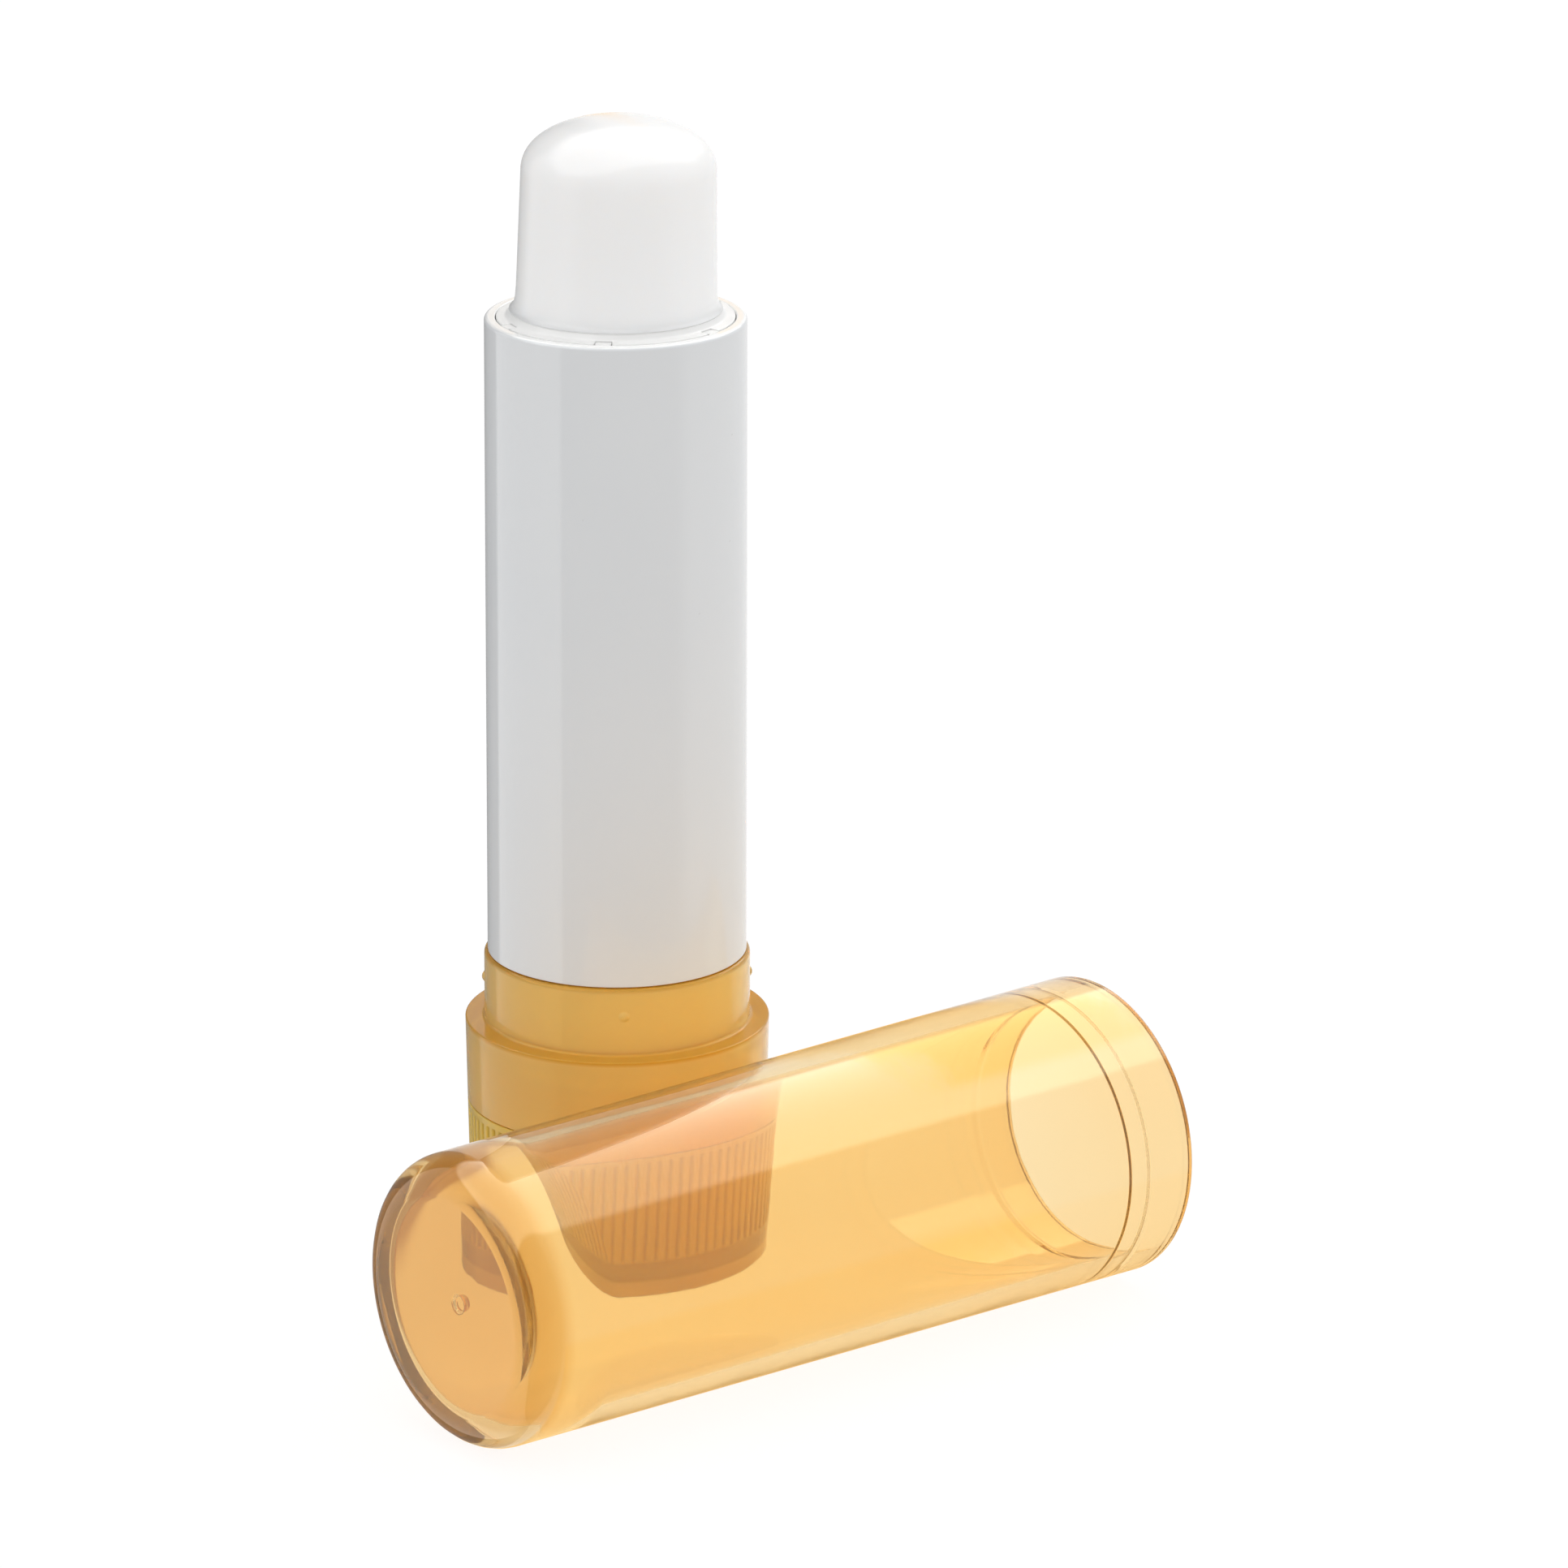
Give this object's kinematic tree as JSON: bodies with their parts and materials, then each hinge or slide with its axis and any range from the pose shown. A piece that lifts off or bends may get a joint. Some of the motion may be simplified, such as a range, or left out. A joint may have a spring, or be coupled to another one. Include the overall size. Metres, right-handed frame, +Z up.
{
  "type": "lip balm stick",
  "caption": "Swivel lip balm stick wound fully up, standing on its knurled wheel, with its clear cap pulled off and lying beside it.",
  "frame": {"origin": "middle of the thumbwheel's flat underside, on the table the stick stands on", "axes": "+Z up along the stick's axis; +X level, along the lying cap from its closed end to its mouth; the cap lies on the -Y side of the stick"},
  "size_m": [0.0512, 0.0395, 0.0749],
  "materials": {
    "barrel": "opaque white, glossy",
    "collar_sleeve": "clear amber, glossy",
    "thumbwheel": "clear amber, glossy",
    "drive_screw": "opaque white, satin",
    "elevator_cup": "opaque white, satin",
    "balm": "waxy off-white, slightly translucent",
    "cap": "clear amber, glossy"
  },
  "bodies": {
    "holder": {"barrel": "barrel", "collar_sleeve": "collar_sleeve"},
    "wheel": {"thumbwheel": "thumbwheel", "drive_screw": "drive_screw"},
    "lift": {"elevator_cup": "elevator_cup", "balm": "balm"},
    "cap": {"cap": "cap"}
  },
  "joints": [
    {"name": "wheel_turn", "type": "hinge", "parent": "holder", "child": "wheel", "pos_m": [0, 0, 0], "axis": [0, 0, 1], "range_deg": [0, 1215]},
    {"name": "balm_lift", "type": "slide", "parent": "holder", "child": "lift", "axis": [0, 0, 1], "range_m": [-0.0135, 0]},
    {"name": "cap_pick_up", "type": "slide", "parent": "holder", "child": "cap", "axis": [0, 0, 1], "range_m": [0, 0.08]}
  ],
  "couplings": [
    {"joint": "balm_lift", "follows": "wheel_turn", "m_per_rad": -0.0006366}
  ]
}
